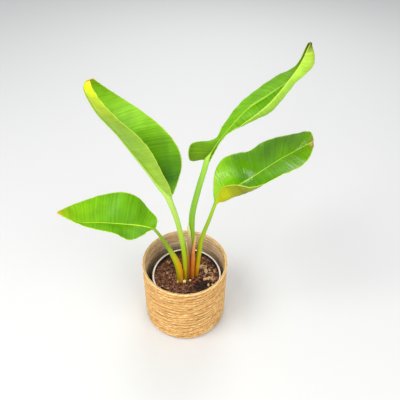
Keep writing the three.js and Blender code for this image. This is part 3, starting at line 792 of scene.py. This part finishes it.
# Crumbs by what they are: how many, their least and greatest half width, and their tones.
CRUMBS = {
    "peat": (700, 0.7, 2.4, [(0.35, "#140c08"), (0.5, "#38241a"), (0.65, "#5c3c2c")]),
    "bark_fines": (520, 0.7, 2.3, [(0.35, "#5c2c1c"), (0.5, "#94583c"), (0.65, "#b87c5c")]),
    "coir": (380, 0.6, 1.9, [(0.35, "#9c7454"), (0.5, "#d0a07c"), (0.65, "#ecc8a4")]),
}
for kind, (count, least, most, tones) in CRUMBS.items():
    bm = bmesh.new()
    for _ in range(count):
        # Pale fibre has gathered on the right; dark peat at the front adds to the painted shade.
        drift = {"peat": rng.normal(-0.9, 0.9), "coir": rng.normal(0.3, 0.8)}.get(kind, 0)
        bearing = drift if drift and rng.uniform() < 0.45 else rng.uniform(0, TURN)
        x, y, z = on_soil(bearing, math.sqrt(rng.uniform(0, 0.99)))
        # Of the crumbs, only peat lies on the painted shade, which keeps it dark.
        if kind != "peat" and math.hypot(x - SHADE_PATCH_AT[0], y - SHADE_PATCH_AT[1]) < SHADE_PATCH_REACH:
            continue
        size = least + (most - least) * rng.power(0.6)
        turn = Matrix.Rotation(rng.uniform(0, TURN), 4, Vector(rng.normal(size=3)).normalized())
        form = Matrix.Diagonal((size, size * rng.uniform(0.5, 0.9), size * rng.uniform(0.4, 0.7), 1))
        at = Matrix.Translation((x, y, z + 0.4 * size))
        lump = bmesh.ops.create_icosphere(bm, subdivisions=1, radius=1, matrix=at @ turn @ form)
        for vertex in lump["verts"]:
            vertex.co += Vector(rng.normal(size=3)) * 0.14 * size
    piece(kind + "_crumbs", bm, [rough_skin(kind, tones, 140)], shade=False)

# Bark chips lie thickest on the right; each is a split slab about 3 to 10 mm long.
chip_skin = rough_skin(
    "split_bark_chip",
    [(0.3, "#8c6440"), (0.45, "#c89c6c"), (0.6, "#ecd0a0"), (0.75, "#fcf0c8")], 200)
bm = bmesh.new()
for number in range(30):
    if number < 15:
        x, y, z = on_soil(rng.normal(0.3, 0.4), rng.uniform(0.55, 0.93))
        long = rng.uniform(5, 10)
    else:
        x, y, z = on_soil(rng.uniform(0, TURN), rng.uniform(0.3, 0.95))
        long = rng.uniform(3, 6)
    before = len(bm.verts)
    slab = bmesh.ops.create_cube(bm, size=1)
    edges = list({e for v in slab["verts"] for e in v.link_edges})
    bmesh.ops.subdivide_edges(bm, edges=edges, cuts=2, use_grid_fill=True)
    bm.verts.ensure_lookup_table()
    chip = bm.verts[before:]
    form = Matrix.Diagonal((long, long * rng.uniform(0.4, 0.7), rng.uniform(1.2, 2.2), 1))
    tilt = Matrix.Rotation(rng.normal(0, 0.4), 4, "X") @ Matrix.Rotation(rng.normal(0, 0.3), 4, "Y")
    swing = Matrix.Rotation(rng.uniform(0, TURN), 4, "Z")
    at = Matrix.Translation((x, y, z + 1.3))
    for vertex in chip:
        vertex.co = at @ swing @ tilt @ form @ vertex.co
        vertex.co += Vector(rng.normal(size=3)) * 0.26
piece("bark_chips", bm, [chip_skin], shade=False)


def joined(parts):
    """Several meshes as one, with the notes of each."""
    whole = bmesh.new()
    for bm, _ in parts:
        part = bpy.data.meshes.new("part")
        bm.to_mesh(part)
        bm.free()
        whole.from_mesh(part)
        bpy.data.meshes.remove(part)
    return whole, {field: np.concatenate([notes[field] for _, notes in parts])
                   for field in parts[0][1]}


# Dead roots lie round the crown, 1 to 2 mm thick.
root_skin = rough_skin(
    "dead_root_skin", [(0.3, "#54200c"), (0.5, "#9c4c28"), (0.7, "#d08c5c")], 260, roughness=0.7)
roots = []
for _ in range(26):
    bearing = rng.uniform(0, TURN)
    out = rng.uniform(8, 20)
    start = np.array([CROWN_AT[0] + out * math.cos(bearing), CROWN_AT[1] + out * math.sin(bearing)])
    run = rng.uniform(6, 13)
    swing = bearing + rng.normal(0, 0.9)
    bend = rng.normal(0, 0.5)
    line = []
    for share in np.linspace(0, 1, 6):
        x = start[0] + run * share * math.cos(swing + bend * share)
        y = start[1] + run * share * math.sin(swing + bend * share)
        line.append((x, y, soil_height(x, y) + 0.9 + 1.6 * share * (1 - share)))
    centres = smooth(line, np.linspace(0, 1, 12))
    bm, _ = tube(centres, np.linspace(rng.uniform(0.7, 1.1), 0.4, 12), 8)
    roots.append((bm, {}))
bm, _ = joined(roots)
piece("dead_roots", bm, [root_skin])

# -------------------- liner and basket

# Liner: clear polyethylene film, tucked into the basket, with upright creases.
film, tree, shader = start_material(
    "clear_polyethylene", Roughness=0.14, IOR=1.5, Alpha=0.14, Base_Color=linear("#fcf0e0"))
where = add(tree, "TexCoord", out="Object")
pulled = add(tree, "Mapping", {"Vector": where, "Scale": (1.0, 1.0, 0.35)})
creases = add(tree, "TexNoise", {"Vector": pulled, "Scale": 60, "Detail": 4})
bump = add(tree, "Bump", {"Strength": 0.8, "Distance": 0.002, "Height": creases})
tree.links.new(bump, shader.inputs["Normal"])

liner_out = BASKET_RADIUS - BASKET_WALL - LINER_GAP
bm = bmesh.new()
bmesh.ops.create_cone(bm, cap_ends=False, segments=180, radius1=liner_out, radius2=liner_out,
                      depth=1)
upright = [e for e in bm.edges if abs(e.verts[0].co.z - e.verts[1].co.z) > 0.5]
bmesh.ops.subdivide_edges(bm, edges=upright, cuts=44)
low = BASKET_FLOOR + LINER_GAP
# The edge waves by about 1.5 mm, and loose folds stand up to 3 mm off the wall.
for vertex in bm.verts:
    share = vertex.co.z + 0.5
    bearing = math.atan2(vertex.co.y, vertex.co.x)
    east, north = math.cos(bearing), math.sin(bearing)
    edge = LINER_HEIGHT + 1.6 * noise.noise(Vector((east, north, 0)) * 2.4)
    height = low + (min(edge, LINER_HEIGHT + 1.5) - low) * share
    spot = Vector((east * 3.2, north * 3.2, height * 0.035))
    slack = max(0.0, noise.noise(spot)) * 2.6 + max(0.0, noise.noise(spot * 2.7)) * 1.1
    # The film stays outside the pot wherever the two come close.
    across = POT_AT[0] * north - POT_AT[1] * east
    pot_out = POT_AT[0] * east + POT_AT[1] * north
    pot_out += math.sqrt(pot_radius(min(height, POT_TOP)) ** 2 - across ** 2)
    slack = min(slack * min(1.0, share * 6), liner_out - pot_out - 0.6)
    inner = liner_out - slack - 3.2 * max(0.0, 1 - share * 30)
    vertex.co = (inner * east, inner * north, height)
foot = [e for e in bm.edges if e.is_boundary and e.verts[0].co.z < low + 1]
bmesh.ops.holes_fill(bm, edges=foot, sides=0)
bmesh.ops.recalc_face_normals(bm, faces=bm.faces)
thicken(piece("liner", bm, [film], ["liner"]), FILM_THICKNESS)

CORD_DEPTH = 2.0
CORD_RISE = 3.4
WANDER = 0.55
LEVEL_ROWS = 3
ROW_DROP = 0.2


def straw(name, tones, pale, dark):
    """Seagrass: dry grass stems, twisted into cord and wound in rows. Each stem has its own tone,
    with deep painted shade between the plies and where one cord meets the next. The stems are drawn
    about 1.4 mm wide, half as wide again as real ones, so that they still show from a step away."""
    made, tree, shader = start_material(name, Roughness=0.6, IOR=1.45, Specular_IOR_Level=0.4)
    lay = add(tree, "Attribute", attribute_name="straw_lay", out="Vector")
    stems = add(tree, "TexNoise", {"Vector": lay, "Scale": 1.0, "Detail": 5, "Roughness": 0.72})
    tone = add(tree, "ValToRGB", {0: stems}, stops=tones)
    # Cut ends and nicks show as short dark dashes, about 0.7 by 4 mm.
    closer = add(tree, "Mapping", {"Vector": lay, "Scale": (2.0, 2.0, 1.6)})
    nicks = add(tree, "TexNoise", {"Vector": closer, "Scale": 1.2, "Detail": 2})
    tone = tint(tree, tone, dark, nicks, 0.42, 0.32, 0.75, soft=False)
    # Here and there a stem is bleached, and short lengths have darkened.
    shifted = add(tree, "Mapping", {"Vector": lay, "Location": (31.0, 17.0, 5.0)})
    odd = add(tree, "TexNoise", {"Vector": shifted, "Scale": 0.8, "Detail": 1})
    tone = tint(tree, tone, pale, odd, 0.58, 0.68, 0.8)
    tone = tint(tree, tone, dark, odd, 0.36, 0.28, 0.7)
    # Painted shade: the deep places between the plies and between the cords are darkened.
    unshaded = add(tree, "Attribute", attribute_name="straw_unshaded", out="Fac")
    tone = tint(tree, tone, dark, unshaded, 0.6, 0, 0.75)
    coat(tree, shader, tone, stems, 0.7, 0.6)
    return made


outer_straw = straw(
    "seagrass_cord",
    [(0.33, "#9c6420"), (0.42, "#d09444"), (0.5, "#e4ac60"), (0.58, "#f0c078"), (0.68, "#fcdc94")],
    "#fff0b0", "#7c4c10")
# The lining is painted much paler than the cord outside: painted light that lifts the shade inside the
# basket.
lining_straw_painted_light = straw(
    "seagrass_lining_painted_light",
    [(0.28, "#dca870"), (0.4, "#f4cc94"), (0.5, "#fcdcac"), (0.6, "#ffe8c4"), (0.75, "#fff4dc")],
    "#fff8e8", "#b47c48")


def cord_ring(radius, height, depth, rise, twists, seed, steps=300, sides=14, wander=0):
    """A ring of two-ply cord. Depth and rise are half of its thickness and height, and wander is
    half of how far it strays from level. Its notes are the lay of its stems, and how open each
    place is, which sets its painted shade: 0 is deep between the plies and is shaded most."""
    bm = bmesh.new()
    upright = Matrix.Rotation(TURN / 4, 4, "X")
    circle = bmesh.ops.create_circle(bm, segments=sides, radius=1,
                                     matrix=Matrix.Translation((10, 0, 0)) @ upright)
    loop = list({e for v in circle["verts"] for e in v.link_edges})
    bmesh.ops.spin(bm, geom=circle["verts"] + loop, cent=(0, 0, 0), axis=(0, 0, 1), angle=TURN,
                   steps=steps, use_merge=True)
    bmesh.ops.remove_doubles(bm, verts=bm.verts, dist=0.0001)
    bmesh.ops.recalc_face_normals(bm, faces=bm.faces)
    flat = spots(bm)
    bearing = np.arctan2(flat[:, 1], flat[:, 0])
    angle = np.arctan2(flat[:, 2], np.hypot(flat[:, 0], flat[:, 1]) - 10)
    lay = angle - twists * bearing + 2.4 * seed
    ply = np.abs(np.cos(lay))
    bulge = 0.84 + 0.16 * ply ** 0.6
    bulge *= 1 + 0.03 * np.sin(5 * bearing + seed) + 0.02 * np.sin(13 * bearing + 2.1 * seed)
    reach = radius + depth * bulge * np.cos(angle)
    level = height + rise * bulge * np.sin(angle)
    # Rows wander up and down together, as in work done by hand.
    level += wander * (np.sin(3 * bearing + height / 14) + np.sin(7 * bearing - height / 9))
    settle(bm, np.column_stack([reach * np.cos(bearing), reach * np.sin(bearing), level]))
    run = np.abs(bearing) * radius
    lays = np.column_stack([3.4 * np.cos(lay), 3.4 * np.sin(lay), run / 6 + seed * 7.3])
    # A place is deep between the plies, and where a cord meets the next one; there the straw gets
    # painted shade.
    unshaded = np.clip((ply - 0.05) / 0.6, 0, 1)
    unshaded *= np.clip((1 - np.abs(np.sin(angle))) / 0.22, 0, 1)
    return bm, {"straw_lay": lays, "straw_unshaded": unshaded}


rings = []
for row in range(ROWS):
    middle = FOOT_RISE + (row + 0.5) * ROW_HEIGHT - ROW_DROP
    twists = round(TURN * BASKET_RADIUS / rng.uniform(120, 170))
    radius = BASKET_RADIUS - CORD_DEPTH + rng.uniform(-0.2, 0.1)
    # The lowest and the highest row keep level, and the next ones stray less.
    wander = WANDER * min(1, row / LEVEL_ROWS, (ROWS - 1 - row) / LEVEL_ROWS)
    rings.append(cord_ring(radius, middle, CORD_DEPTH, CORD_RISE, twists, row + 1, wander=wander))
bm, notes = joined(rings)
piece("basket_rows", bm, [outer_straw], ["basket"], notes)

# The base is one cord coiled flat, drawn as rings, and the basket stands on it.
BASE_RINGS = 10
BASE_RADIUS = 66.2
BASE_STEP = 6.6
rings = []
for ring in range(BASE_RINGS):
    radius = BASE_RADIUS - BASE_STEP * ring
    twists = max(1, round(TURN * radius / 80))
    rings.append(cord_ring(radius, 2.2, 3.5, 2.0, twists, ring + 40, 200, 12))
bm, notes = joined(rings)
piece("basket_base", bm, [outer_straw], ["basket"], notes)

# A thin pale cord binds the rim.
bm, notes = cord_ring(BASKET_RADIUS - 2, BASKET_HEIGHT - 1.5, 2.1, 1.5, 12, 60)
rim_straw = straw(
    "pale_rim_cord",
    [(0.28, "#c89c54"), (0.4, "#e8bc74"), (0.5, "#f4d08c"), (0.7, "#ffe8b0")],
    "#fff4c8", "#a87430")
piece("basket_rim", bm, [rim_straw], ["basket"], notes)

# Inside the rows lies a flat lining of the same straw, which closes the wall and the floor. It ends
# inside the rim cord, and a shallow groove, darkened with painted shade, marks each row.
RIM_SEAT = 1.6
ROW_GROOVE = 0.7
core_out, core_in = BASKET_RADIUS - CORD_DEPTH - 0.2, BASKET_RADIUS - BASKET_WALL + 0.05
core_rings = []
for height in np.linspace(BASKET_HEIGHT - RIM_SEAT, BASKET_FLOOR + 1, ROWS * 8):
    groove = abs(math.cos(math.pi * (height - FOOT_RISE + ROW_DROP) / ROW_HEIGHT)) ** 3
    core_rings.append((core_in + ROW_GROOVE * groove, height))
core_profile = [(0, 3), (68, 3), (core_out, FOOT_RISE + 2), (core_out, BASKET_HEIGHT - RIM_SEAT),
                *core_rings, (core_in - 1, BASKET_FLOOR), (0, BASKET_FLOOR)]
bm = turned(core_profile, 180)
flat = spots(bm)
bearing = np.arctan2(flat[:, 1], flat[:, 0])
out = np.hypot(flat[:, 0], flat[:, 1])
rows = np.floor((flat[:, 2] - FOOT_RISE + ROW_DROP) / ROW_HEIGHT)
# The lining's stems run round it: their tone changes every 0.7 mm up the wall, and every 20 mm along.
notes = {
    "straw_lay": np.column_stack([flat[:, 2] * 1.4 + 0.05 * np.abs(bearing) * BASKET_RADIUS,
                                  out * 0.9, np.abs(bearing) * out / 20 + rows * 3.3]),
    "straw_unshaded": 1 - np.clip((out - core_in) / ROW_GROOVE, 0, 1) * (out < core_in + 0.8) * 0.8,
}
piece("basket_core", bm, [lining_straw_painted_light], ["basket"], notes)

# -------------------- camera, floor and light

camera = bpy.data.objects.new("camera", bpy.data.cameras.new("camera"))
camera.data.sensor_width = 36
camera.data.lens = 40.5
camera.location = (0.024, -0.510, 0.727)
# It looks down by 41.7 degrees, and is rolled by 1.1.
tilt = Matrix.Rotation(math.radians(90 - 41.7), 4, "X") @ Matrix.Rotation(math.radians(1.1), 4, "Z")
camera.rotation_euler = tilt.to_euler()
scene.collection.objects.link(camera)
scene.camera = camera
scene.view_settings.view_transform = "Standard"

floor_mesh = bmesh.new()
bmesh.ops.create_grid(floor_mesh, x_segments=1, y_segments=1, size=6)
floor_data = bpy.data.meshes.new("floor")
floor_mesh.to_mesh(floor_data)
floor_mesh.free()
floor = bpy.data.objects.new("floor", floor_data)
paint, _, _ = start_material("pale_floor_paint", Roughness=0.9, Base_Color=linear("#dcdcda"))
floor_data.materials.append(paint)
scene.collection.objects.link(floor)

world = bpy.data.worlds.new("studio")
scene.world = world
world.use_nodes = True
world.node_tree.nodes["Background"].inputs[0].default_value = linear("#f4f6fa")
world.node_tree.nodes["Background"].inputs[1].default_value = 0.58


LAMPS_AIM = Vector((0, 0, 0.22))


def lamp(name, at, width, height, power):
    """A soft flat lamp that looks at the plant."""
    light = bpy.data.lights.new(name, "AREA")
    light.shape = "RECTANGLE"
    light.size = width
    light.size_y = height
    light.energy = power
    made = bpy.data.objects.new(name, light)
    made.location = at
    made.rotation_euler = (LAMPS_AIM - Vector(at)).to_track_quat("-Z", "Y").to_euler()
    scene.collection.objects.link(made)


lamp("key_lamp", (-0.9, -0.5, 1.7), 0.9, 0.9, 21)
lamp("fill_lamp", (1.0, -1.0, 1.15), 1.2, 1.2, 12)
lamp("back_lamp", (0.2, 1.4, 1.3), 1.0, 1.0, 9)
lamp("window_lamp", (-0.54, -1.2, 0.5), 0.12, 0.3, 3.4)
